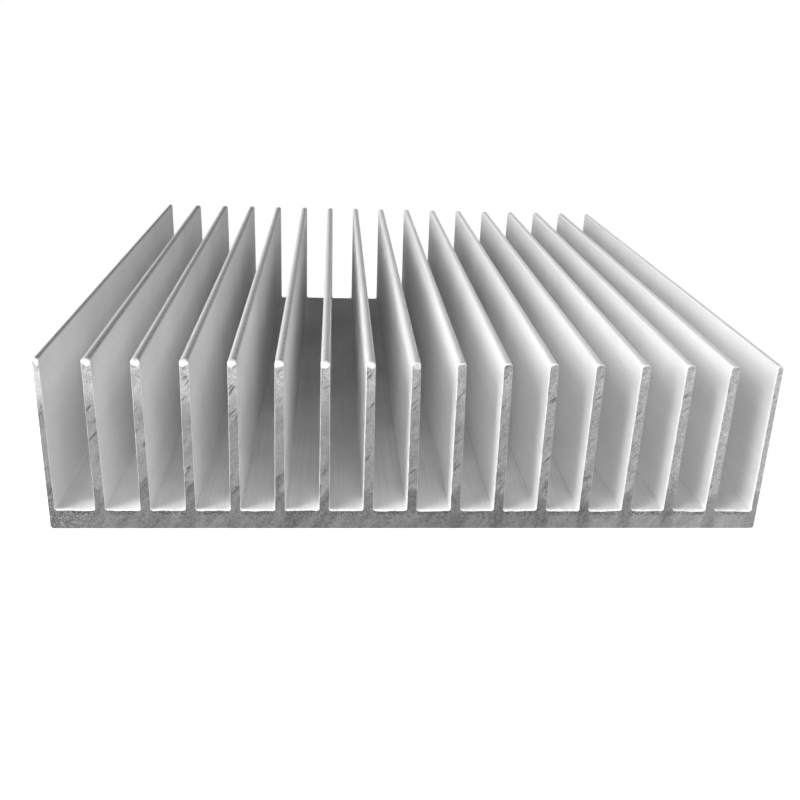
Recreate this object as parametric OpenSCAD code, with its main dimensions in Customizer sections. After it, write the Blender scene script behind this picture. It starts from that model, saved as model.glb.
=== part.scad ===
// Extruded heat sink: a flat base plate with straight fins along its whole length, sawn from a bar.
// X runs across the fins, Y along the extrusion and Z up. The base stands on Z = 0.

/* [Extrusion] */
// Width across the base and the two edge fins
section_w = 182; // [100:1:300]
// Height from the mounting face to the fin tips
section_h = 45.5; // [30:0.5:80]
// Length that is sawn off the bar
cut_length = 200; // [50:5:400]

/* [Base] */
// Thickness of the base plate under the channels
base_t = 5.5; // [3:0.5:12]
// Radius along the two lower corners of the base
corner_r = 0.8; // [0.7:0.1:2]

/* [Fins] */
// Distance from the centre of one fin to the next
fin_pitch = 11.2; // [7:0.1:20]
// Thickness of an inner fin where it meets the base
fin_root_t = 2.6; // [1.8:0.1:4]
// Thickness of an inner fin at its tip
fin_tip_t = 2.2; // [1.6:0.1:3.4]
// Thickness of an edge fin where it meets the base
edge_root_t = 1.5; // [1.4:0.1:4]
// Thickness of an edge fin at its tip
edge_tip_t = 1.4; // [1.4:0.1:3.4]
// Radius on both edges of every fin tip
tip_r = 0.9; // [0.7:0.05:1.5]
// Radius of the fillet between a fin and the channel floor
root_r = 0.6; // [0.4:0.05:1.2]

/* [Sawn ends] */
// Width of the chamfer left where the sawn edges are deburred
deburr = 0.4; // [0.1:0.05:0.5]

/* [Hidden] */

arc_steps = 4;                                 // flats on each rounded corner of the section
outside = 0.2;                                 // how far the edge cutter stands clear of the metal
half_w = section_w / 2;
channel_w = fin_pitch - fin_root_t;            // floor width of a channel between inner fins
side_room = half_w - edge_root_t - channel_w - fin_root_t / 2;
side_fins = floor(side_room / fin_pitch);      // inner fins on each side of the middle one
wall_share = 0.45;                             // most of a fin's thickness that one tip radius takes

// A radius that still leaves some wall between the two rounded edges of a fin.
function tip_radius(wall) = min(tip_r, wall_share * wall);

function unit(v) = v / norm(v);
function cross_z(a, b) = a.x * b.y - a.y * b.x;

// Corners of the section before rounding, each as [x, z, radius], counterclockwise from the lower left.
function inner_fin(x) = [
    [x + fin_root_t / 2, base_t, root_r],
    [x + fin_tip_t / 2, section_h, tip_radius(fin_tip_t)],
    [x - fin_tip_t / 2, section_h, tip_radius(fin_tip_t)],
    [x - fin_root_t / 2, base_t, root_r],
];
right_edge_fin = [
    [half_w, section_h, tip_radius(edge_tip_t)],
    [half_w - edge_tip_t, section_h, tip_radius(edge_tip_t)],
    [half_w - edge_root_t, base_t, root_r],
];
left_edge_fin = [for (i = [2:-1:0]) [-right_edge_fin[i][0], right_edge_fin[i][1], right_edge_fin[i][2]]];
inner_fins = [for (k = [side_fins:-1:-side_fins]) each inner_fin(k * fin_pitch)];
base_corners = [[-half_w, 0, corner_r], [half_w, 0, corner_r]];
corners = concat(base_corners, right_edge_fin, inner_fins, left_edge_fin);

// One rounded corner as stations [point, normal], where the normal points into the metal.
function rounded(before, corner, after) =
    let (
        at = [corner[0], corner[1]],
        back = unit([before[0], before[1]] - at),
        on = unit([after[0], after[1]] - at),
        turn = sign(cross_z(-back, on)),
        half = acos(back * on) / 2,
        centre = at + unit(back + on) * corner[2] / sin(half),
        middle = unit(at - centre),
        sweep = 180 - 2 * half
    )
    [
        for (i = [0:arc_steps])
            let (
                a = turn * sweep * (i / arc_steps - 0.5),
                out = [middle.x * cos(a) - middle.y * sin(a), middle.x * sin(a) + middle.y * cos(a)]
            )
            [centre + corner[2] * out, -turn * out]
    ];

// The whole outline of the section, station by station.
last = len(corners) - 1;
outline = [
    for (i = [0:last])
        each rounded(corners[i == 0 ? last : i - 1], corners[i], corners[i == last ? 0 : i + 1])
];

// The outline moved into the metal by a distance, in a plane at a height along the bar.
function ring(inward, z) = [for (s = outline) [s[0].x + inward * s[1].x, s[0].y + inward * s[1].y, z]];

// Cross-section of the profile, drawn in the XY plane.
module section() {
    polygon([for (s = outline) s[0]]);
}

// Solid that takes the sharp edge off one sawn end: a three-sided wedge swept round the outline. Its slanted
// face runs from the end plane to the sides of the section, and its third edge lies outside the metal.
module edge_cutter() {
    rings = [
        ring(deburr, 0),
        ring(-outside, -outside),
        ring(0, deburr),
    ];
    n = len(outline);
    polyhedron(
        points = [for (r = rings) each r],
        faces = [
            for (j = [0:2])
                for (i = [0:n - 1])
                    let (next = (i + 1) % n, up = (j + 1) % 3)
                    [j * n + i, up * n + i, up * n + next, j * n + next]
        ]
    );
}

// The sawn length of bar, with its fins up and its middle over the origin.
module heat_sink() {
    color([0.77, 0.78, 0.79])
        rotate([90, 0, 0])
            difference() {
                linear_extrude(height = cut_length, center = true) section();
                for (end = [0, 1])
                    mirror([0, 0, end])
                        translate([0, 0, -cut_length / 2])
                            edge_cutter();
            }
}

heat_sink();
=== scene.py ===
"""Looks of an extruded aluminium heat sink: its drawn sides, sawn ends and hand-broken edges."""

import logging
import math
from dataclasses import dataclass, field
from enum import Enum, IntEnum

import bpy
import numpy as np
from mathutils import Matrix, Vector, noise
from mathutils.geometry import delaunay_2d_cdt


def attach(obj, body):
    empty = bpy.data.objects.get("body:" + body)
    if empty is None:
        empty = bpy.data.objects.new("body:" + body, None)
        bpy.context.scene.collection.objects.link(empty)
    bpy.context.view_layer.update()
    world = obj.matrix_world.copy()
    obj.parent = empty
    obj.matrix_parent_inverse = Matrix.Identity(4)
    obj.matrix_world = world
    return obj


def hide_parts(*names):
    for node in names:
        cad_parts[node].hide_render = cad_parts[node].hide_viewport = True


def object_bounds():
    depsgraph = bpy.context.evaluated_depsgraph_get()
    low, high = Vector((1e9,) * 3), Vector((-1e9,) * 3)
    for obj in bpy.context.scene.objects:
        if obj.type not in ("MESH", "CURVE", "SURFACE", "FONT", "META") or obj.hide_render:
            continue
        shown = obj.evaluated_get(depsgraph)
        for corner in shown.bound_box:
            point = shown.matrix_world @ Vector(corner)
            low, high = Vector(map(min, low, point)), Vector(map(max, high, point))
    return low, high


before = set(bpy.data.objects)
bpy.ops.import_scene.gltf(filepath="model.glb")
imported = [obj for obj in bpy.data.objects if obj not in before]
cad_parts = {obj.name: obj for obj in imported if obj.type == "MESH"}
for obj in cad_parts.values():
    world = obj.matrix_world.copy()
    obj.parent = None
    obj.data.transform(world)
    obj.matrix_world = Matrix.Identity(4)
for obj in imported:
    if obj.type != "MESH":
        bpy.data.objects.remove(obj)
cad_low, cad_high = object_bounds()

MM = 0.001
HEAT_SINK = "heat_sink"

HALF_WIDTH = cad_high.x
TOP = cad_high.z
BASE = 5.5 * MM  # thickness of the base plate, up to the channel floors
PITCH = 11.2 * MM  # from one fin's centre to the next

log = logging.getLogger("heat_sink")

Socket = bpy.types.NodeSocket


class Patch(Enum):
    """A kind of surface on the bar. The value is its material slot."""

    WALL = 0
    FLOOR = 1
    TIP = 2
    BROKEN = 3
    SAWN = 4
    OUTER = 5


class End(IntEnum):
    """A sawn end of the bar."""

    FRONT = 0
    BACK = 1

    @property
    def way(self) -> int:
        """The way that the end faces along Y."""
        return -1 if self is End.FRONT else 1


def add(name: str, data: bpy.types.ID) -> bpy.types.Object:
    """Returns a new object, linked to the scene."""
    made = bpy.data.objects.new(name, data)
    bpy.context.scene.collection.objects.link(made)
    return made


# ---------------------------------------------------------------- materials


@dataclass
class Graph:
    """Builds a node tree with short calls.

    Attributes:
        tree: The node tree that the nodes go into.
    """

    tree: bpy.types.NodeTree

    @property
    def shader(self) -> bpy.types.Node:
        """The material's surface shader."""
        return self.tree.nodes["Principled BSDF"]

    def put(self, target: Socket, value: object) -> None:
        """Links value to target if it is a socket, and writes it there otherwise."""
        if isinstance(value, Socket):
            self.tree.links.new(value, target)
        else:
            target.default_value = value

    def node(self, kind: str, inputs: dict | None = None, **settings: object) -> bpy.types.Node:
        """Adds one node.

        Args:
            kind: The node's type without the ShaderNode prefix.
            inputs: Socket name or index to a value or a socket.
            settings: Properties of the node.

        Returns:
            The new node.
        """
        made = self.tree.nodes.new("ShaderNode" + kind)
        for name, value in settings.items():
            setattr(made, name, value)
        for key, value in (inputs or {}).items():
            self.put(made.inputs[key], value)
        return made

    def math(self, operation: str, *values: object) -> Socket:
        """Returns the result of one Math node."""
        return self.node("Math", dict(enumerate(values)), operation=operation).outputs[0]

    def vector(self, operation: str, *values: object) -> Socket:
        """Returns the vector result of one Vector Math node."""
        return self.node("VectorMath", dict(enumerate(values)), operation=operation).outputs[0]

    def product(self, first: object, *others: object) -> Socket:
        """Returns all the values multiplied."""
        for other in others:
            first = self.math("MULTIPLY", first, other)
        return first

    def total(self, first: object, *others: object) -> Socket:
        """Returns all the values added up."""
        for other in others:
            first = self.math("ADD", first, other)
        return first

    def raised(self, base: object, value: object, share: object) -> Socket:
        """Returns base plus a share of value."""
        return self.math("MULTIPLY_ADD", value, share, base)

    def swayed(self, middle: object, mark: Socket, amount: float) -> Socket:
        """Returns middle, moved either way by a noise, up to half of amount."""
        return self.raised(middle, self.math("SUBTRACT", mark, 0.5), amount)

    def noise(self, at: Socket, size: float, detail: float = 2.0, rough: float = 0.5) -> Socket:
        """Returns noise from 0 to 1, with features of a size in metres and finer octaves."""
        inputs = {"Vector": at, "Scale": 1 / size, "Detail": detail, "Roughness": rough}
        return self.node("TexNoise", inputs).outputs[0]

    def ramp(self, value: object, low: float, high: float, start: float = 0.0, end: float = 1.0,
             smooth: bool = False) -> Socket:
        """Returns value mapped from low..high to start..end, held at both limits.

        Args:
            value: The value.
            low: Where the ramp begins.
            high: Where it ends.
            start: Result at low and below.
            end: Result at high and above.
            smooth: Whether it eases in and out.

        Returns:
            The mapped value.
        """
        inputs = {0: value, 1: low, 2: high, 3: start, 4: end}
        kind = "SMOOTHSTEP" if smooth else "LINEAR"
        return self.node("MapRange", inputs, interpolation_type=kind).outputs[0]

    def mix(self, share: object, first: object, second: object) -> Socket:
        """Returns a colour mixed from first to second."""
        made = self.node("Mix", data_type="RGBA", clamp_factor=False)
        for key, value in ((0, share), (6, first), (7, second)):
            self.put(made.inputs[key], value)
        return made.outputs[2]

    def place(self) -> Socket:
        """Returns the point's place on the object, in metres."""
        return self.node("TexCoord").outputs["Object"]

    def sideways(self, x: Socket) -> Socket:
        """Returns x as -1 at the left end of the row of fins and 1 at the right end."""
        return self.math("DIVIDE", x, HALF_WIDTH)


def grey(level: float) -> tuple[float, float, float, float]:
    """Returns a neutral colour."""
    return (level, level, level, 1.0)


def new_material(name: str) -> tuple[bpy.types.Material, Graph]:
    """Returns a new material and its graph."""
    material = bpy.data.materials.new(name)
    material.use_nodes = True
    return material, Graph(material.node_tree)


@dataclass(frozen=True)
class MetalFinish:
    """What every finish of the aluminium shares.

    Attributes:
        name: Name of the Blender material.
        metallic: Share of bare metal against dull oxide.
        light: Lightest tone of the metal.
        dark: Darkest tone of the metal.
        roughness: Mean roughness.
        swing: How much the roughness varies.
        gloss: Gloss of the oxide.
        contrast: Half the range of a noise that the tones from dark to light spread over.
        bump: Strength of the relief.
    """

    name: str
    metallic: float
    light: float
    dark: float
    roughness: float
    swing: float
    gloss: float = 0.25
    contrast: float = 0.14
    bump: float = 0.5

    def start(self) -> tuple[bpy.types.Material, Graph]:
        """Returns a new material and its graph, with the values that are the same all over."""
        material, g = new_material(self.name)
        g.shader.inputs["Metallic"].default_value = self.metallic
        g.shader.inputs["Specular IOR Level"].default_value = self.gloss
        return material, g

    def toned(self, g: Graph, mark: Socket) -> Socket:
        """Returns tones from dark to light as a noise rises through its middle range."""
        share = g.ramp(mark, 0.5 - self.contrast, 0.5 + self.contrast)
        return g.mix(share, grey(self.dark), grey(self.light))

    def surface(self, g: Graph, colour: Socket, rough: Socket, height: Socket,
                depth: float) -> None:
        """Links the parts of a finish to its shader.

        Args:
            g: The material's graph.
            colour: Its colour.
            rough: Its roughness.
            height: Its relief, as a share of depth.
            depth: How deep the relief is, in metres.
        """
        relief = g.node("Bump", {"Height": height, "Strength": self.bump, "Distance": depth})
        g.put(g.shader.inputs["Base Color"], colour)
        g.put(g.shader.inputs["Roughness"], rough)
        g.put(g.shader.inputs["Normal"], relief.outputs[0])


@dataclass(frozen=True)
class DrawnFinish(MetalFinish):
    """Satin sides as they left the die, with fine lines along the bar.

    Attributes:
        line_width: Width of a die line.
        line_stretch: How much shorter a die line's noise is read along the bar.
        line_relief: Height of the die lines.
        cloud: Size of the broad uneven patches.
        grain: Size of the finest grain.
    """

    name: str = "drawn_satin"
    metallic: float = 0.25
    light: float = 0.95
    dark: float = 0.85
    roughness: float = 0.78
    swing: float = 0.10
    line_width: float = 0.55 * MM
    line_stretch: float = 0.012
    line_relief: float = 0.007 * MM
    cloud: float = 30 * MM
    grain: float = 0.25 * MM

    def lines(self, g: Graph, at: Socket) -> Socket:
        """Returns the die lines.

        Args:
            g: The material's graph.
            at: The place on the object.

        Returns:
            Lines from 0 to 1.
        """
        along = g.vector("MULTIPLY", at, (1.0, self.line_stretch, 1.0))
        fine = g.noise(along, self.line_width, 3.0, 0.65)
        broad = g.noise(along, 8 * self.line_width)
        return g.raised(g.product(broad, 0.4), fine, 0.6)

    def material(self) -> bpy.types.Material:
        """Returns the finish as a Blender material."""
        material, g = self.start()
        at = g.place()
        lines = self.lines(g, at)
        clouds = g.noise(at, self.cloud, 3.0)
        grain = g.noise(at, self.grain, 1.0)
        tone = g.raised(g.product(clouds, 0.5), lines, 0.5)
        rough = g.raised(self.roughness - self.swing, clouds, self.swing)
        rough = g.raised(rough, lines, self.swing)
        self.surface(g, self.toned(g, tone), rough, g.raised(lines, grain, 0.5), self.line_relief)
        return material


@dataclass(frozen=True)
class FloorFinish(DrawnFinish):
    """Channel floors, rougher, more streaked and, as painted shade, darker than the fins."""

    name: str = "channel_floor"
    metallic: float = 0.22
    # lower tones than the fins: painted shade in the channels
    light: float = 0.91
    dark: float = 0.68
    roughness: float = 0.80


@dataclass(frozen=True)
class OuterFinish(DrawnFinish):
    """Outer sides and mounting face, darker than the fins as painted shade."""

    name: str = "outer_satin"
    # tones lowered as painted shade, so the lamp-lit outer sides stay below white
    light: float = 0.62
    dark: float = 0.52
    roughness: float = 0.70
    line_relief: float = 0.012 * MM


@dataclass(frozen=True)
class TipFinish(DrawnFinish):
    """Rounded fin tips; their right shoulders carry painted shade, a darker speckled streak.

    Attributes:
        streak: Tone of the painted shade streak against the lightest tone.
        streak_rise: Sideways slopes of the surface between which the streak begins.
        streak_fall: Sideways slopes of the surface between which it ends.
        streak_right: Strength of the streak at the right.
        spot: Size of the streak's spots.
        spotted: Share of the streak's shade that a spot keeps.
        dull: Tone of the darkest tips, at the left end, against the bright ones.
        rougher: How much rougher the tips at the left end are.
    """

    name: str = "fin_tip"
    metallic: float = 0.3
    gloss: float = 0.5
    light: float = 0.97
    dark: float = 0.92
    roughness: float = 0.30
    streak: float = 0.36
    streak_rise: tuple[float, float] = (-0.20, 0.20)
    streak_fall: tuple[float, float] = (0.72, 0.84)
    streak_right: float = 0.3
    spot: float = 0.7 * MM
    spotted: float = 0.72
    dull: float = 0.72
    rougher: float = 0.28

    def material(self) -> bpy.types.Material:
        """Returns the finish as a Blender material."""
        material, g = self.start()
        coordinates = g.node("TexCoord").outputs
        at = coordinates["Object"]
        side = g.sideways(g.node("SeparateXYZ", {0: at}).outputs[0])
        slope = g.node("SeparateXYZ", {0: coordinates["Normal"]}).outputs[0]
        # painted shade: darker on the tips' right-facing shoulders, less so at the right end of the
        # row
        painted_shoulder_shade = g.product(
            g.ramp(slope, *self.streak_rise, smooth=True),
            g.ramp(slope, *self.streak_fall, 1.0, 0.0, smooth=True),
            g.ramp(side, -0.5, 0.6, 1.0, self.streak_right),
        )
        drawn_out = g.vector("MULTIPLY", at, (1.0, 0.4, 1.0))
        spots = g.ramp(g.noise(drawn_out, self.spot, 2.0, 0.6), 0.36, 0.52)
        shade = g.product(painted_shoulder_shade, g.ramp(spots, 0, 1, 1.0, self.spotted))
        lines = self.lines(g, at)
        # the tips turn darker and rougher towards the left end of the row
        near_left_end = g.ramp(side, -1.0, 0.1, 1.0, 0.0)
        tone = g.mix(g.product(near_left_end, 1 - self.dull), self.toned(g, lines), grey(0.0))
        colour = g.mix(shade, tone, grey(self.light * self.streak))
        rough = g.raised(self.roughness - self.swing / 2, near_left_end, self.rougher)
        rough = g.raised(rough, lines, self.swing)
        self.surface(g, colour, rough, g.raised(lines, spots, 0.6), self.line_relief)
        return material


@dataclass(frozen=True)
class CutFace:
    """Where a point of a sawn end lies, and the noises that mark it.

    Attributes:
        x: Distance across the fins from the middle of the bar.
        z: Height.
        side: -1 at the left end of the row of fins, 1 at the right end.
        aside: Distance from the middle of the nearest fin.
        fine: Noise of the teeth's scratches.
        smear: Broader noise along the scratches.
        patches: Noise that chooses where scratches show.
        torn: Noise of the torn metal.
        grit: The finest noise.
    """

    x: Socket
    z: Socket
    side: Socket
    aside: Socket
    fine: Socket
    smear: Socket
    patches: Socket
    torn: Socket
    grit: Socket


@dataclass(frozen=True)
class SawnFinish(MetalFinish):
    """Dull torn metal of a saw cut, scratched by the blade's teeth.

    A share of 0 is the darker cut and a share of 1 is the lighter cut. The methods give
    what each mark adds to it.

    Attributes:
        painted_highlight_tone: Tone of the painted highlights on the tips at the left.
        pitted: Tone of pits and scratches against the darker cut.
        relief: Depth of the marks.
        limits: Least and most share that is kept.
        blade_radius: Radius of the arcs that the teeth leave.
        mark_angle: Degrees that a scratch rises to the right.
        dark_foot_top: Height where the darker foot of the cut ends.
        dark_foot_edge: Half the height over which it ends.
        dark_foot_sway: How far up and down that edge wanders.
        tip_from: Height where the tips begin, for their painted light and speckles.
        tip_reach: Distance from the left end over which the edge fin's painted light is strongest.
        near_left_end: How far the speckled wear reaches in from the left end.
        painted_highlight_reach: How far the painted highlights reach down from the tips.
        half_fin: Half the thickness of a fin.
    """

    name: str = "saw_cut"
    metallic: float = 0.7
    light: float = 0.27
    dark: float = 0.136
    roughness: float = 0.60
    swing: float = 0.2
    painted_highlight_tone: float = 0.75
    pitted: float = 0.45
    relief: float = 0.10 * MM
    limits: tuple[float, float] = (-0.7, 3.0)
    blade_radius: float = 450 * MM
    mark_angle: float = 54.0
    dark_foot_top: float = 12 * MM
    dark_foot_edge: float = 0.9 * MM
    dark_foot_sway: float = 22 * MM
    tip_from: float = 34 * MM
    tip_reach: float = 3 * MM
    near_left_end: float = 16 * MM
    painted_highlight_reach: float = 1.6 * MM
    half_fin: float = 1.15 * MM

    def blade_coordinates(self, g: Graph, at: Socket) -> Socket:
        """Returns a place as the saw blade meets it.

        Args:
            g: The material's graph.
            at: The place on the object.

        Returns:
            Distance from the blade's centre, along the scratch, and place along the bar.
        """
        lean = math.radians(self.mark_angle)
        hub = (self.blade_radius * math.sin(lean), 0.0, -self.blade_radius * math.cos(lean))
        x, y, z = g.node("SeparateXYZ", {0: g.vector("SUBTRACT", at, hub)}).outputs
        radius = g.math("SQRT", g.total(g.product(x, x), g.product(z, z)))
        along = g.product(g.math("ARCTAN2", z, x), self.blade_radius)
        return g.node("CombineXYZ", {0: radius, 1: along, 2: y}).outputs[0]

    def cut_face(self, g: Graph) -> CutFace:
        """Returns the coordinates and noises of the cut.

        Args:
            g: The material's graph.

        Returns:
            What the other methods read.
        """
        at = g.place()
        x, _, z = g.node("SeparateXYZ", {0: at}).outputs
        blade = self.blade_coordinates(g, at)
        return CutFace(
            x, z, g.sideways(x), g.math("PINGPONG", x, PITCH / 2),
            fine=g.noise(g.vector("MULTIPLY", blade, (1.0, 0.12, 1.0)), 0.5 * MM, 0.0),
            smear=g.noise(g.vector("MULTIPLY", blade, (1.0, 0.35, 1.0)), 2.2 * MM),
            patches=g.noise(at, 5.5 * MM, 1.0),
            torn=g.noise(at, 0.9 * MM, 3.0, 0.65),
            grit=g.noise(at, 0.32 * MM, 0.0),
        )

    def scratches(self, g: Graph, c: CutFace) -> tuple[Socket, Socket]:
        """Returns the marks of the teeth.

        Args:
            g: The material's graph.
            c: The cut's coordinates and noises.

        Returns:
            The scratches, and the bright lips beside them.
        """
        bare = g.product(g.ramp(c.patches, 0.46, 0.56), g.ramp(c.z, BASE, self.dark_foot_top))
        scratch = g.product(g.ramp(c.fine, 0.30, 0.38, 1.0, 0.0), bare)
        beside = g.math("ABSOLUTE", g.math("SUBTRACT", c.fine, 0.44))
        return scratch, g.product(g.ramp(beside, 0.01, 0.04, 0.35, 0.0), bare)

    def lighter_above_foot(self, g: Graph, c: CutFace) -> Socket:
        """Returns the lighter cut above the darker foot."""
        # darker towards the foot of the cut, lighter above
        low, high = self.dark_foot_top - self.dark_foot_edge, self.dark_foot_top + self.dark_foot_edge
        return g.ramp(g.swayed(c.z, c.smear, self.dark_foot_sway), low, high, 0.0, 0.42, smooth=True)

    def painted_light_on_tips(self, g: Graph, c: CutFace) -> Socket:
        """Returns painted light on the tips, strongest at the left and on the left edge fin."""
        tip = g.ramp(c.z, self.tip_from - 4 * MM, self.tip_from + 6 * MM, smooth=True)
        reach = self.tip_reach - HALF_WIDTH
        edge_fin = g.ramp(c.x, reach, reach + 1 * MM, 1.2, 0.0)
        return g.product(tip, g.total(g.ramp(c.side, -1.0, 0.3, 1.1, 0.25), edge_fin))

    def painted_light_at_ends(self, g: Graph, c: CutFace) -> Socket:
        """Returns painted light: the cut made lighter towards both ends of the row."""
        return g.total(g.ramp(c.side, -1.0, -0.3, 0.25, 0.0), g.ramp(c.side, 0.3, 1.0, 0.0, 1.1))

    def smears(self, g: Graph, c: CutFace) -> Socket:
        """Returns the darker smears that run down from the fins at the right."""
        under = g.ramp(c.aside, 1.0 * MM, 2.2 * MM, 1.0, 0.0)
        right = g.ramp(c.side, 0.0, 0.6, 0.0, 0.4)
        return g.product(under, right, g.ramp(c.z, self.dark_foot_top, BASE))

    def speckled(self, g: Graph, c: CutFace) -> Socket:
        """Returns where speckles show.

        Args:
            g: The material's graph.
            c: The cut's coordinates and noises.

        Returns:
            How strong they are: at the lower left end, the tips, and the fins at the right.
        """
        end = g.ramp(c.x, self.near_left_end - HALF_WIDTH, -HALF_WIDTH, smooth=True)
        low = g.product(end, g.ramp(c.z, self.dark_foot_top, BASE, 0.0, 0.6))
        up = g.ramp(c.z, self.tip_from, self.tip_from + 8 * MM, 0.0, 0.5)
        tips = g.product(up, g.ramp(c.side, -1.0, 1.0, 1.0, 0.4))
        right = g.product(g.ramp(c.side, 0.1, 0.6, 0.0, 0.32), g.ramp(c.z, BASE, self.dark_foot_top))
        return g.math("MAXIMUM", g.math("MAXIMUM", low, tips), right)

    def rim(self, g: Graph, c: CutFace) -> Socket:
        """Returns where the cut is pitted, just below the channel floors."""
        ragged = g.swayed(c.z, c.torn, 1.6 * MM)
        below = g.ramp(ragged, BASE - 1.7 * MM, BASE - 1.1 * MM)
        channel = g.ramp(c.aside, 1.3 * MM, 1.9 * MM)
        return g.product(below, channel, g.ramp(c.z, BASE + 1 * MM, BASE))

    def painted_tip_highlights(self, g: Graph, c: CutFace) -> Socket:
        """Returns painted highlights: bright domed spots at the top of the fins at the left."""
        dome = g.math("POWER", g.math("DIVIDE", c.aside, self.half_fin), 2.0)
        edge = g.raised(g.swayed(c.z, c.torn, 1.4 * MM), dome, -0.7 * MM)
        foot = TOP - self.painted_highlight_reach
        return g.product(g.ramp(edge, foot - 0.3 * MM, foot), g.ramp(c.side, -0.25, 0.15, 0.9, 0.0))

    def material(self) -> bpy.types.Material:
        """Returns the finish as a Blender material."""
        material, g = self.start()
        c = self.cut_face(g)
        scratch, lip = self.scratches(g, c)
        zone = self.speckled(g, c)
        share = g.swayed(self.lighter_above_foot(g, c), c.torn, 1.3)
        share = g.swayed(share, c.smear, 1.2)
        share = g.swayed(share, c.grit, 0.6)
        speckles = g.product(zone, g.ramp(c.grit, 0.60, 0.70, 0.0, 1.3))
        # painted light towards the tips and both ends of the row is added here, with the marks
        share = g.total(share, self.painted_light_at_ends(g, c), self.painted_light_on_tips(g, c), lip, speckles)
        share = g.math("SUBTRACT", share, self.smears(g, c))
        share = g.ramp(share, *self.limits, *self.limits)
        pits = g.product(
            g.math("MAXIMUM", g.product(zone, 0.6), self.rim(g, c)),
            g.ramp(c.grit, 0.52, 0.40, 0.0, 1.0),
        )
        wear = g.math("MAXIMUM", g.product(scratch, 0.8), pits)
        tone = g.mix(share, grey(self.dark), grey(self.light))
        tone = g.mix(wear, tone, grey(self.dark * self.pitted))
        # painted highlight: bright domed spots at the top of the fins at the left
        colour = g.mix(self.painted_tip_highlights(g, c), tone, grey(self.painted_highlight_tone))
        rough = g.raised(self.roughness - self.swing / 2, c.torn, self.swing)
        height = g.math("SUBTRACT", g.raised(c.smear, c.torn, 0.7), scratch)
        self.surface(g, colour, rough, height, self.relief)
        return material


@dataclass(frozen=True)
class BrokenEdgeFinish(MetalFinish):
    """Fresh bright metal where the sharp edges were filed off.

    Attributes:
        stroke: Size of the file's strokes.
        relief: Depth of the file's strokes.
    """

    name: str = "filed_edge"
    metallic: float = 0.5
    light: float = 0.92
    dark: float = 0.70
    roughness: float = 0.45
    swing: float = 0.16
    contrast: float = 0.15
    bump: float = 0.3
    stroke: float = 0.8 * MM
    relief: float = 0.05 * MM

    def material(self) -> bpy.types.Material:
        """Returns the finish as a Blender material."""
        material, g = self.start()
        strokes = g.noise(g.place(), self.stroke, 2.0, 0.6)
        rough = g.raised(self.roughness - self.swing / 2, strokes, self.swing)
        self.surface(g, self.toned(g, strokes), rough, strokes, self.relief)
        return material


# ---------------------------------------------------------------- the bar


@dataclass(frozen=True)
class Corner:
    """One corner of the section before it is rounded.

    Attributes:
        x: Place across the fins, in metres.
        z: Height, in metres.
        radius: Radius of the rounding.
        fin: Number of the fin that it belongs to, or None on the base.
    """

    x: float
    z: float
    radius: float
    fin: int | None = None

    @property
    def at(self) -> np.ndarray:
        """The corner as a point."""
        return np.array([self.x, self.z])


@dataclass
class Outline:
    """The closed outline of the section, as stations that run counterclockwise.

    Attributes:
        point: Each station's place (x, z).
        inward: Each station's unit normal into the metal.
        fin: Each station's fin number, or NaN on the base.
    """

    point: np.ndarray
    inward: np.ndarray
    fin: np.ndarray

    def __len__(self) -> int:
        """The number of stations."""
        return len(self.point)


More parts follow.
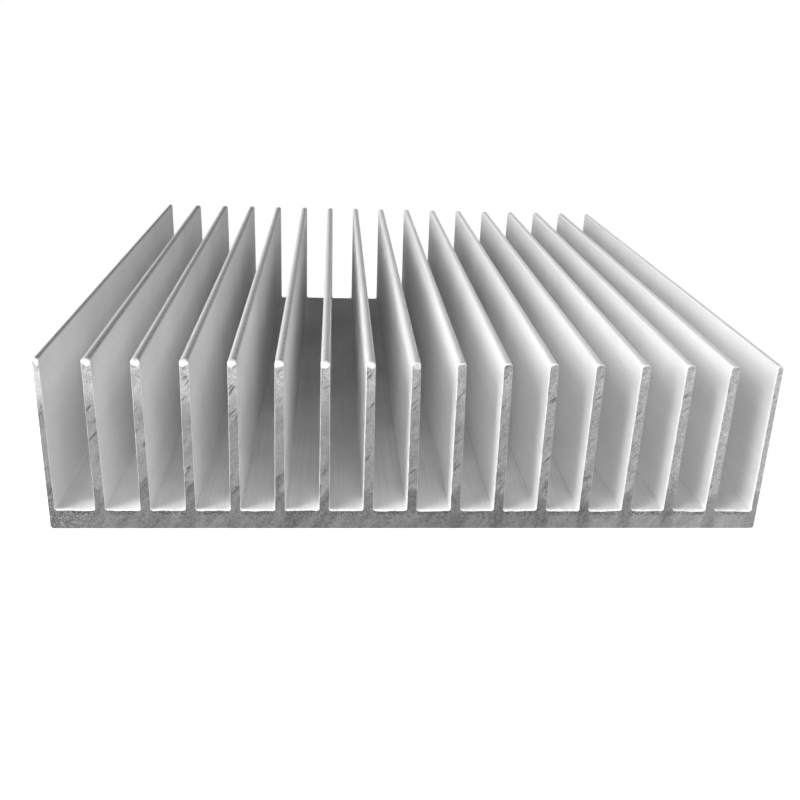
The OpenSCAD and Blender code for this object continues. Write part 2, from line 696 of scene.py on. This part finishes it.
@dataclass(frozen=True)
class Section:
    """Cross-section of the bar, in metres.

    Attributes:
        width: Width over the two edge fins.
        height: Height from the mounting face to the fin tips.
        base: Thickness of the base plate.
        pitch: Distance between fin centres.
        fin_root: Thickness of an inner fin at the base.
        fin_tip: Thickness of an inner fin at its tip.
        edge_root: Thickness of an edge fin at the base.
        edge_tip: Thickness of an edge fin at its tip.
        tip_radius: Radius on both edges of a fin tip.
        root_radius: Radius of the fillet at the channel floor.
        corner_radius: Radius along the lower corners of the base.
        wall_share: Most of a fin's thickness that one tip radius takes.
        side_fins: Inner fins on each side of the middle one.
    """

    width: float
    height: float
    base: float = BASE
    pitch: float = PITCH
    fin_root: float = 2.6 * MM
    fin_tip: float = 2.2 * MM
    edge_root: float = 1.5 * MM
    edge_tip: float = 1.4 * MM
    tip_radius: float = 0.9 * MM
    root_radius: float = 0.6 * MM
    corner_radius: float = 0.8 * MM
    wall_share: float = 0.45
    side_fins: int = 7

    def rounded_tip(self, thickness: float) -> float:
        """Returns the tip radius that a fin of this thickness takes."""
        return min(self.tip_radius, self.wall_share * thickness)

    def inner_fin(self, k: int) -> list[Corner]:
        """Returns the corners of an inner fin.

        Args:
            k: Number of the fin, from the middle one.

        Returns:
            Four corners, from its right foot over the tip to its left foot.
        """
        x, tip = k * self.pitch, self.rounded_tip(self.fin_tip)
        return [
            Corner(x + self.fin_root / 2, self.base, self.root_radius, k),
            Corner(x + self.fin_tip / 2, self.height, tip, k),
            Corner(x - self.fin_tip / 2, self.height, tip, k),
            Corner(x - self.fin_root / 2, self.base, self.root_radius, k),
        ]

    def corners(self) -> list[Corner]:
        """Returns every corner, counterclockwise from the lower left."""
        half, tip, edge = self.width / 2, self.rounded_tip(self.edge_tip), self.side_fins + 1
        right = [
            Corner(half, self.height, tip, edge),
            Corner(half - self.edge_tip, self.height, tip, edge),
            Corner(half - self.edge_root, self.base, self.root_radius, edge),
        ]
        left = [Corner(-c.x, c.z, c.radius, -edge) for c in reversed(right)]
        base = [Corner(-half, 0, self.corner_radius), Corner(half, 0, self.corner_radius)]
        numbers = range(self.side_fins, -self.side_fins - 1, -1)
        inner = [c for k in numbers for c in self.inner_fin(k)]
        return base + right + inner + left

    def outline(self, arc_steps: int, spacing: float) -> Outline:
        """Returns the rounded outline.

        Args:
            arc_steps: Steps on each rounded corner.
            spacing: Most distance between stations on a straight stretch.

        Returns:
            The stations, counterclockwise.
        """
        corners = self.corners()
        arcs = [
            self.arc(corners[i - 1].at, c, corners[(i + 1) % len(corners)].at, arc_steps)
            for i, c in enumerate(corners)
        ]
        point, inward, fin = [], [], []
        for i, (points, normals) in enumerate(arcs):
            here, after = corners[i], corners[(i + 1) % len(corners)]
            span = arcs[(i + 1) % len(arcs)][0][0] - points[-1]
            steps = max(1, math.ceil(np.linalg.norm(span) / spacing))
            extra = [points[-1] + span * j / steps for j in range(1, steps)]
            point += [*points, *extra]
            inward += [*normals, *([normals[-1]] * len(extra))]
            number = math.nan if here.fin is None else here.fin
            same = here.fin is not None and here.fin == after.fin
            fin += [number] * len(points) + [number if same else math.nan] * len(extra)
        return Outline(np.array(point), np.array(inward), np.array(fin))

    @staticmethod
    def arc(before: np.ndarray, corner: Corner, after: np.ndarray,
            steps: int) -> tuple[list[np.ndarray], list[np.ndarray]]:
        """Returns one rounded corner.

        Args:
            before: The corner before it.
            corner: The corner.
            after: The corner after it.
            steps: Steps on the arc.

        Returns:
            The arc's points, and their normals into the metal.
        """
        back = (before - corner.at) / np.linalg.norm(before - corner.at)
        on = (after - corner.at) / np.linalg.norm(after - corner.at)
        turn = math.copysign(1.0, -back[0] * on[1] + back[1] * on[0])
        half = math.acos(float(back @ on)) / 2
        towards = (back + on) / np.linalg.norm(back + on)
        centre = corner.at + towards * corner.radius / math.sin(half)
        points, normals = [], []
        for i in range(steps + 1):
            a = turn * (math.pi - 2 * half) * (i / steps - 0.5)
            out = np.array([
                -towards[0] * math.cos(a) + towards[1] * math.sin(a),
                -towards[0] * math.sin(a) - towards[1] * math.cos(a),
            ])
            points.append(centre + corner.radius * out)
            normals.append(-turn * out)
        return points, normals


@dataclass(frozen=True)
class EdgeWidths:
    """Widths of the hand-broken edge, by the way that the side beside it faces.

    Attributes:
        floor: Beside the channel floors.
        tip_left: Beside the fin tips at the left end of the row.
        tip_right: Beside the fin tips at the right end of the row.
        left: Beside walls that face left.
        right: Beside walls that face right.
        down: Beside the mounting face.
        outer: Share of left and right that the bar's outer sides get.
        turn: Exponent with which one width gives way to the next round a corner.
    """

    floor: float = 0.42 * MM
    tip_left: float = 0.80 * MM
    tip_right: float = 0.32 * MM
    left: float = 0.12 * MM
    right: float = 0.04 * MM
    down: float = 0.07 * MM
    outer: float = 0.3
    turn: float = 1.5

    def at(self, outline: Outline) -> np.ndarray:
        """Returns the widths along an outline.

        Args:
            outline: The stations.

        Returns:
            One width for each station.
        """
        x, z = outline.inward.T
        low, high = outline.point.min(0), outline.point.max(0)
        across, rise = ((outline.point - low) / (high - low)).T
        tip = self.tip_left + (self.tip_right - self.tip_left) * np.clip(1.6 * across - 0.2, 0, 1)
        up = np.where(rise > 0.5, tip, self.floor)
        side = np.where(np.abs(across - 0.5) > 0.4999, self.outer, 1.0)
        ways = ((up, -z), (self.down, z), (self.left * side, x), (self.right * side, -x))
        return sum(width * np.clip(share, 0, 1) ** self.turn for width, share in ways)


@dataclass(frozen=True)
class BakeMap:
    """Lays the bar out flat: its sides as rows of strips, and its two sawn ends above them.

    Attributes:
        name: Name of the UV layer.
        rows: Rows that the sides are cut into.
        row: Height of a row, as a share of the map.
        edge: Height that each end's broken edge takes in a row.
        gap: Space around each part.
    """

    name: str = "OFBake"
    rows: int = 7
    row: float = 0.0705
    edge: float = 0.005
    gap: float = 0.004

    def across(self, outline: Outline) -> list[tuple[int, float, float]]:
        """Returns how the faces round a band are laid in rows.

        Args:
            outline: The stations.

        Returns:
            The (row, start, end) of each face.
        """
        span = np.linalg.norm(np.roll(outline.point, -1, axis=0) - outline.point, axis=1)
        ends = np.cumsum(span)
        starts = ends - span
        row = np.minimum(((starts + ends) / 2 / ends[-1] * self.rows).astype(int), self.rows - 1)
        places = []
        for r in range(self.rows):
            low, high = starts[row == r].min(), ends[row == r].max()
            scale = (1 - 2 * self.gap) / (high - low)
            places += [
                (r, self.gap + (a - low) * scale, self.gap + (b - low) * scale)
                for a, b in zip(starts[row == r], ends[row == r])
            ]
        return places

    def up(self, rings: list[np.ndarray], bands: list[Patch]) -> list[float]:
        """Returns the height of each ring in a row.

        Args:
            rings: The rings from the front end to the back.
            bands: The patch of each band between two rings.

        Returns:
            One height for each ring.
        """
        broken = bands.count(Patch.BROKEN) // 2
        y = np.array([ring[:, 1].mean() for ring in rings[broken:-broken]])
        inner = self.row - self.gap - 2 * self.edge
        middle = self.edge + (y - y[0]) / (y[-1] - y[0]) * inner
        steps = np.arange(broken) * self.edge / broken
        return [*steps, *middle, *(self.row - self.gap - steps[::-1])]

    def on_end(self, point: np.ndarray, end: End) -> tuple[float, float]:
        """Returns where a point of a sawn end goes.

        Args:
            point: The point.
            end: The end.

        Returns:
            Its place in the layout.
        """
        width = cad_high.x - cad_low.x
        height = (cad_high.z - cad_low.z) / width
        x = point[0] - cad_low.x if end is End.FRONT else cad_high.x - point[0]
        foot = self.rows * self.row + self.gap + end * (height + self.gap) * (1 - 2 * self.gap)
        scale = (1 - 2 * self.gap) / width
        return self.gap + x * scale, foot + (point[2] - cad_low.z) * scale


@dataclass
class Skin:
    """The bar's mesh while it is put together.

    Attributes:
        points: Its vertices, in blocks.
        faces: The vertices of each face.
        slots: The material slot of each face.
        flat: Where each corner of each face lies in the flat layout.
    """

    points: list[np.ndarray]
    faces: list[tuple[int, ...]] = field(default_factory=list)
    slots: list[int] = field(default_factory=list)
    flat: list[tuple[float, float]] = field(default_factory=list)

    def mesh(self, name: str, layout: str, finishes: tuple[MetalFinish, ...],
             crease: float) -> bpy.types.Mesh:
        """Returns the finished mesh.

        Args:
            name: Its name.
            layout: Name of the flat layout.
            finishes: The finish of each slot.
            crease: Least angle of a sharp edge, in degrees.

        Returns:
            The mesh.
        """
        mesh = bpy.data.meshes.new(name)
        mesh.from_pydata(np.vstack(self.points).tolist(), [], self.faces)
        mesh.polygons.foreach_set("material_index", self.slots)
        mesh.polygons.foreach_set("use_smooth", [True] * len(self.faces))
        for finish in finishes:
            mesh.materials.append(finish.material())
        mesh.uv_layers.new(name=layout).data.foreach_set("uv", np.ravel(self.flat))
        mesh.set_sharp_from_angle(angle=math.radians(crease))
        mesh.update()
        return mesh


@dataclass
class FinnedBar:
    """The sawn length of bar as one closed mesh.

    Attributes:
        section: Its cross-section.
        length: Its length along Y.
        edges: Mean widths of the hand-broken edge.
        profile: The broken edge from end to side, as shares (inset, depth) of its width.
        ragged: How much those widths vary, as a share.
        ripple: Size of their short waves.
        swell: Size of their long waves.
        limits: Least and most share of the mean width that is left.
        tip_share: Most of an inner fin's tip radius that the broken edge takes.
        edge_tip_share: Most of an edge fin's tip radius that it takes.
        lean: How far the fin tips sway out of line in turn.
        sway_step: Turn of that sway from one fin to the next, in radians.
        sway_start: Its turn at the middle fin, in radians.
        spread: How far the outer fin tips stand away from the middle.
        relief: Depth of the saw's marks.
        grain: Spacing of points on a sawn face.
        arc_steps: Steps on each rounded corner.
        spacing: Most distance between stations on a straight stretch.
        bays: Bands that the bar's sides are cut into along its length.
        crease: Least angle of an edge that stays sharp, in degrees.
        tip_slope: Least upward share of a fin tip's normal.
        floor_slope: Least upward share of a channel floor's normal.
        mark_angle: Degrees that a saw mark rises to the right.
        finishes: The finish of each Patch, in the order of their slots.
        bake: The mesh's flat layout.
    """

    section: Section
    length: float
    edges: EdgeWidths = EdgeWidths()
    profile: tuple[tuple[float, float], ...] = ((1.0, 0.0), (0.38, 0.38), (0.0, 1.0))
    ragged: float = 0.35
    ripple: float = 2.2 * MM
    swell: float = 7 * MM
    limits: tuple[float, float] = (0.45, 1.45)
    tip_share: float = 0.85
    edge_tip_share: float = 0.4
    lean: float = 0.40 * MM
    sway_step: float = 0.625
    sway_start: float = 0.83
    spread: float = 0.19 * MM
    relief: float = 0.05 * MM
    grain: float = 0.55 * MM
    arc_steps: int = 5
    spacing: float = 1.0 * MM
    bays: int = 14
    crease: float = 32.0
    tip_slope: float = 0.25
    floor_slope: float = 0.7
    mark_angle: float = SawnFinish.mark_angle
    finishes: tuple[MetalFinish, ...] = (
        DrawnFinish(), FloorFinish(), TipFinish(), BrokenEdgeFinish(), SawnFinish(), OuterFinish(),
    )
    bake: BakeMap = BakeMap()

    def leaning(self, outline: Outline) -> np.ndarray:
        """Returns how far the fins' unevenness moves the stations.

        Args:
            outline: The stations.

        Returns:
            A distance along X for each station.
        """
        s = self.section
        rise = np.clip((outline.point[:, 1] - s.base) / (s.height - s.base), 0, 1)
        k = np.nan_to_num(outline.fin)
        inner = np.abs(outline.fin) <= s.side_fins
        sway = self.lean * np.sin(self.sway_step * k + self.sway_start)
        return np.where(inner, (self.spread * k / s.side_fins - sway) * rise, 0.0)

    @staticmethod
    def wander(outline: Outline, size: float, layer: float) -> np.ndarray:
        """Returns noise from -1 to 1 at each station, from one layer of it."""
        return np.array([noise.noise(Vector((x, z, layer)) / size) for x, z in outline.point])

    def edge_widths(self, outline: Outline, end: End) -> np.ndarray:
        """Returns the uneven width of the broken edge at one end.

        Args:
            outline: The stations.
            end: The end.

        Returns:
            One width for each station.
        """
        ripple = self.wander(outline, self.ripple, 7.3 * MM * end)
        swell = self.wander(outline, self.swell, 3.1 * MM * end)
        uneven = np.clip(1 + self.ragged * (1.4 * ripple + 1.2 * swell), *self.limits)
        s = self.section
        high = outline.point[:, 1] > s.height / 2
        edge_fin = high & ~(np.abs(outline.fin) <= s.side_fins)
        most = np.where(
            edge_fin,
            self.edge_tip_share * s.rounded_tip(s.edge_tip),
            self.tip_share * s.rounded_tip(s.fin_tip),
        )
        return np.minimum(self.edges.at(outline) * uneven, most)

    def ring(self, outline: Outline, y: float, inset: np.ndarray | float) -> np.ndarray:
        """Returns one ring of points at y, moved into the metal by inset."""
        flat = outline.point + outline.inward * np.reshape(inset, (-1, 1))
        x = flat[:, 0] + self.leaning(outline)
        return np.stack([x, np.full(len(outline), y), flat[:, 1]], 1)

    def rings(self, outline: Outline) -> tuple[list[np.ndarray], list[Patch]]:
        """Returns every ring of the sides.

        Args:
            outline: The stations.

        Returns:
            The rings from the front to the back, and the patch of each band between.
        """
        half = self.length / 2
        clear = half - 3 * self.edges.floor
        ends = []
        for end in End:
            width = self.edge_widths(outline, end)
            rings = []
            for inset, depth in self.profile:
                ring = self.ring(outline, end.way * half, inset * width)
                ring[:, 1] -= end.way * depth * width
                rings.append(ring)
            rings.append(self.ring(outline, end.way * clear, 0.0))
            ends.append(rings)
        places = np.linspace(-1, 1, self.bays + 1)[1:-1] * clear
        middle = [self.ring(outline, y, 0.0) for y in places]
        edge = [Patch.BROKEN] * (len(self.profile) - 1)
        bands = edge + [Patch.WALL] * (len(middle) + 3) + edge
        return ends[0] + middle + ends[1][::-1], bands

    def slots(self, outline: Outline) -> np.ndarray:
        """Chooses finishes by the way that the sides face.

        Args:
            outline: The stations.

        Returns:
            The material slot of each face round a band.
        """
        s = self.section
        x, z = ((outline.point + np.roll(outline.point, -1, axis=0)) / 2).T
        up = -(outline.inward + np.roll(outline.inward, -1, axis=0))[:, 1] / 2
        high = outline.point[:, 1] > s.height / 2
        slot = np.where(high & (up > self.tip_slope), Patch.TIP.value, Patch.WALL.value)
        slot = np.where(~high & (up > self.floor_slope), Patch.FLOOR.value, slot)
        flank = (slot == Patch.WALL.value) & (np.abs(x) > 0.999 * s.width / 2)
        under = z < 0.95 * s.corner_radius
        return np.where(under | flank, Patch.OUTER.value, slot)

    def wrap(self, skin: Skin, outline: Outline, bands: list[Patch]) -> None:
        """Adds the faces of the sides to the skin.

        Args:
            skin: The bar's mesh, which holds the rings.
            outline: The stations.
            bands: The patch of each band between two rings.
        """
        n = len(outline)
        slots = self.slots(outline)
        across, up = self.bake.across(outline), self.bake.up(skin.points, bands)
        for j, band in enumerate(bands):
            low, high = j * n, (j + 1) * n
            for i in range(n):
                k = (i + 1) % n
                skin.faces.append((low + i, low + k, high + k, high + i))
                skin.slots.append(slots[i] if band is Patch.WALL else band.value)
                row, left, right = across[i]
                foot = row * self.bake.row + self.bake.gap
                v, w = foot + up[j], foot + up[j + 1]
                skin.flat += [(left, v), (right, v), (right, w), (left, w)]

    def close(self, skin: Skin, rim: np.ndarray, first: int, end: End) -> None:
        """Adds one sawn end to the skin.

        Args:
            skin: The bar's mesh so far.
            rim: The end's ring of points.
            first: Index of the rim's first point in the skin.
            end: The end.
        """
        new, triangles = self.cap(rim, first, sum(map(len, skin.points)), end)
        skin.points.append(new)
        skin.faces += triangles
        skin.slots += [Patch.SAWN.value] * len(triangles)
        points = np.vstack(skin.points)
        skin.flat += [self.bake.on_end(points[i], end) for face in triangles for i in face]

    def cap(self, rim: np.ndarray, first: int, start: int, end: End) -> tuple[np.ndarray, list]:
        """Fills one sawn end with a fine mesh that carries the saw's marks.

        Args:
            rim: The end's ring of points.
            first: Index of the rim's first vertex in the bar's mesh.
            start: Index that the cap's first new vertex gets.
            end: The end.

        Returns:
            The new vertices, and the triangles.
        """
        flat = rim[:, [0, 2]]
        low, high = flat.min(0), flat.max(0)
        rows = np.arange(low[1] + self.grain / 2, high[1], self.grain * 0.87)
        columns = np.arange(low[0] + self.grain / 2, high[0], self.grain)
        grid = np.array([
            (x + (self.grain / 2 if j % 2 else 0), z) for j, z in enumerate(rows) for x in columns
        ])
        grid = grid[self.well_inside(grid, flat, 0.45 * self.grain)]
        found = delaunay_2d_cdt(
            [Vector(p) for p in (*flat, *grid)], [], [list(range(len(flat)))], 1, 1e-9
        )
        verts, _, faces, origins = found[:4]
        number, new = {}, []
        y = rim[0, 1]
        for i, (v, was) in enumerate(zip(verts, origins)):
            on_rim = [o for o in was if o < len(flat)]
            if on_rim:
                number[i] = first + on_rim[0]
            else:
                number[i] = start + len(new)
                new.append((v.x, y - end.way * self.saw_relief(v.x, v.y, end), v.y))
        return np.array(new), [[number[i] for i in f][::-end.way] for f in faces]

    def saw_relief(self, x: float, z: float, end: End) -> float:
        """Returns how deep the sawn face lies at a point.

        Args:
            x: Place across the fins.
            z: Height.
            end: The end.

        Returns:
            The depth, in metres.
        """
        lean = math.radians(self.mark_angle)
        across = x * math.sin(lean) - z * math.cos(lean)
        along = x * math.cos(lean) + z * math.sin(lean)
        marks = noise.noise(Vector((across / (1.3 * MM), along / (9 * MM), 5.1 * end)))
        waves = noise.noise(Vector((x / (4 * MM), z / (4 * MM), 9.7 + end)))
        return self.relief * (0.5 + 0.5 * (0.6 * marks + 0.4 * waves))

    @staticmethod
    def well_inside(points: np.ndarray, loop: np.ndarray, clear: float) -> np.ndarray:
        """Tells which points lie inside a closed loop and clear of it.

        Args:
            points: The points to test.
            loop: The loop's corners.
            clear: Least distance from the loop.

        Returns:
            One truth value per point.
        """
        batch = 2000
        a, b = loop, np.roll(loop, -1, axis=0)
        span = b - a
        rise = np.where(span[:, 1] == 0, 1e-12, span[:, 1])
        keep = np.zeros(len(points), bool)
        for i in range(0, len(points), batch):
            p = points[i:i + batch, None, :]
            rel = p - a[None]
            spans = (a[:, 1] > p[..., 1]) != (b[:, 1] > p[..., 1])
            crosses = spans & (p[..., 0] < span[:, 0] * rel[..., 1] / rise + a[:, 0])
            t = np.clip((rel * span).sum(2) / (span**2).sum(1), 0, 1)
            gap = np.linalg.norm(rel - t[..., None] * span, axis=2).min(1)
            keep[i:i + batch] = (crosses.sum(1) % 2 == 1) & (gap > clear)
        return keep

    def build(self) -> bpy.types.Object:
        """Builds the bar and returns it as a Blender object."""
        outline = self.section.outline(self.arc_steps, self.spacing)
        rings, bands = self.rings(outline)
        skin = Skin(list(rings))
        self.wrap(skin, outline, bands)
        self.close(skin, rings[0], 0, End.FRONT)
        self.close(skin, rings[-1], len(outline) * (len(rings) - 1), End.BACK)
        mesh = skin.mesh("finned_bar", self.bake.name, self.finishes, self.crease)
        return add("finned_bar", mesh)


# ---------------------------------------------------------------- the studio


@dataclass(frozen=True)
class SoftLamp:
    """A square soft lamp with a grid that narrows its beam.

    Attributes:
        name: Name of the lamp.
        bearing: Degrees round from the front towards the left.
        height: Degrees above the floor.
        distance: Distance from the origin, in metres.
        size: Length of its sides, in metres.
        watts: Its power.
        beam: Angle of its beam, in degrees.
    """

    name: str
    bearing: float
    height: float
    distance: float
    size: float
    watts: float
    beam: float = 42.0

    @property
    def place(self) -> Vector:
        """Where the lamp hangs."""
        turn, rise = math.radians(self.bearing), math.radians(self.height)
        out, up = self.distance * math.cos(rise), self.distance * math.sin(rise)
        return Vector((-out * math.sin(turn), -out * math.cos(turn), up))

    def build(self, target: Vector) -> None:
        """Adds the lamp, turned towards target."""
        data = bpy.data.lights.new(self.name, "AREA")
        data.energy, data.size, data.spread = self.watts, self.size, math.radians(self.beam)
        lamp = add(self.name, data)
        lamp.location = self.place
        lamp.rotation_euler = (target - self.place).to_track_quat("-Z", "Y").to_euler()


@dataclass(frozen=True)
class Camera:
    """The camera.

    Attributes:
        place: Where it stands, in metres.
        yaw: Degrees that it looks to the right of straight ahead.
        pitch: Degrees that it looks down.
        roll: Degrees that it leans over.
        lens: Focal length, in millimetres.
        sensor: Width of the sensor, in millimetres.
    """

    place: tuple[float, float, float] = (-0.02046, -0.31775, 0.12193)
    yaw: float = 4.312
    pitch: float = 21.553
    roll: float = 2.098
    lens: float = 43.2
    sensor: float = 36.0

    def build(self) -> None:
        """Adds the camera and makes it the scene's own."""
        data = bpy.data.cameras.new("camera")
        data.lens, data.sensor_width = self.lens, self.sensor
        yaw, pitch, roll = (math.radians(a) for a in (self.yaw, self.pitch, self.roll))
        flat = Vector((math.sin(yaw), math.cos(yaw), 0))
        ahead = flat * math.cos(pitch) - Vector((0, 0, math.sin(pitch)))
        level = Vector((math.cos(yaw), -math.sin(yaw), 0))
        upright = level.cross(ahead)
        right = math.cos(roll) * level + math.sin(roll) * upright
        up = math.cos(roll) * upright - math.sin(roll) * level
        camera = add("camera", data)
        turn = Matrix((right, up, -ahead)).transposed()
        camera.matrix_world = Matrix.Translation(self.place) @ turn.to_4x4()
        bpy.context.scene.camera = camera


@dataclass
class Studio:
    """A plain pale floor, a white surround and soft lamps.

    Attributes:
        floor_size: Length of the floor's sides, in metres.
        floor_drop: How far the floor lies below the bar, in metres.
        floor_colour: Tone of the floor.
        glow_near: Brightness that the floor shows beside the object.
        glow_start: Distance from the origin where it begins to turn white, in metres.
        glow_end: Distance from the origin where it is white, in metres.
        surround: Strength of the surround to the eye and in reflections.
        ambient: Strength of the light that the surround sends out.
        canopy: Tone of the surround overhead, in reflections.
        canopy_lean: How much further down the canopy reaches at the back.
        canopy_start: Height on the surround where the canopy begins.
        canopy_end: Height on the surround where it is complete.
        lamps: The lamps.
    """

    floor_size: float = 6.0
    floor_drop: float = 0.02 * MM
    floor_colour: float = 0.35
    glow_near: float = 0.95
    glow_start: float = 0.12
    glow_end: float = 0.45
    surround: float = 1.0
    ambient: float = 0.03
    canopy: float = 0.12
    canopy_lean: float = 0.35
    canopy_start: float = 0.55
    canopy_end: float = 0.80
    lamps: tuple[SoftLamp, ...] = (
        SoftLamp("side", bearing=85, height=20, distance=0.80, size=0.40, watts=0.21),
        SoftLamp("key", bearing=50, height=28, distance=0.80, size=0.40, watts=0.25),
        SoftLamp("high", bearing=60, height=45, distance=0.80, size=0.40, watts=0.19),
        SoftLamp("low_front", bearing=0, height=8, distance=0.75, size=0.30, watts=0.45, beam=50),
    )

    def background_rays(self, g: Graph) -> Socket:
        """Returns 1 for rays that see the background, straight or in a reflection, else 0."""
        paths = g.node("LightPath").outputs
        mirrored = g.math("MAXIMUM", paths["Is Glossy Ray"], paths["Is Transmission Ray"])
        return g.math("MAXIMUM", paths["Is Camera Ray"], mirrored)

    def floor_material(self) -> bpy.types.Material:
        """Returns a pale floor that turns to the white of the surround away from the object."""
        material, g = new_material("pale_floor")
        g.shader.inputs["Base Color"].default_value = grey(self.floor_colour)
        g.shader.inputs["Roughness"].default_value = 1.0
        g.shader.inputs["Specular IOR Level"].default_value = 0.0
        g.shader.inputs["Emission Color"].default_value = grey(1.0)
        away = g.node("VectorMath", {0: g.place()}, operation="LENGTH").outputs["Value"]
        glow = g.ramp(away, self.glow_start, self.glow_end, self.glow_near, 1.0, smooth=True)
        g.put(g.shader.inputs["Emission Strength"], g.product(glow, self.background_rays(g)))
        return material

    def floor(self) -> None:
        """Adds the floor."""
        half = self.floor_size / 2
        mesh = bpy.data.meshes.new("floor")
        corners = [(-half, -half, 0), (half, -half, 0), (half, half, 0), (-half, half, 0)]
        mesh.from_pydata(corners, [], [(0, 1, 2, 3)])
        mesh.materials.append(self.floor_material())
        floor = add("floor", mesh)
        floor.location.z = cad_low.z - self.floor_drop

    def world(self) -> None:
        """Surrounds the object with white, which dims overhead in reflections."""
        world = bpy.data.worlds.new("surround")
        world.use_nodes = True
        bpy.context.scene.world = world
        g = Graph(world.node_tree)
        ahead = g.node("TexCoord").outputs["Generated"]
        _, back, up = g.node("SeparateXYZ", {0: ahead}).outputs
        height = g.raised(up, back, self.canopy_lean)
        unseen = g.math("SUBTRACT", 1.0, g.node("LightPath").outputs["Is Camera Ray"])
        canopy = g.ramp(height, self.canopy_start, self.canopy_end, smooth=True)
        shade = g.product(canopy, unseen)
        background = g.tree.nodes["Background"]
        g.put(background.inputs["Color"], g.mix(shade, grey(1.0), grey(self.canopy)))
        strength = g.ramp(self.background_rays(g), 0, 1, self.ambient, self.surround)
        g.put(background.inputs["Strength"], strength)

    def build(self, target: Vector) -> None:
        """Adds everything, with the lamps turned towards target."""
        bpy.context.scene.view_settings.view_transform = "Standard"
        self.floor()
        self.world()
        for lamp in self.lamps:
            lamp.build(target)
        Camera().build()


def main() -> None:
    """Builds the bar and its studio."""
    logging.basicConfig(level=logging.INFO, format="%(name)s: %(message)s")
    size = cad_high - cad_low
    section = Section(width=size.x, height=size.z)
    bar = FinnedBar(section, length=size.y).build()
    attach(bar, "root")
    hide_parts(HEAT_SINK)
    log.info("%s: %d faces", bar.name, len(bar.data.polygons))
    Studio().build(Vector((0, cad_low.y, (cad_low.z + cad_high.z) / 2)))


if __name__ == "__main__":
    main()
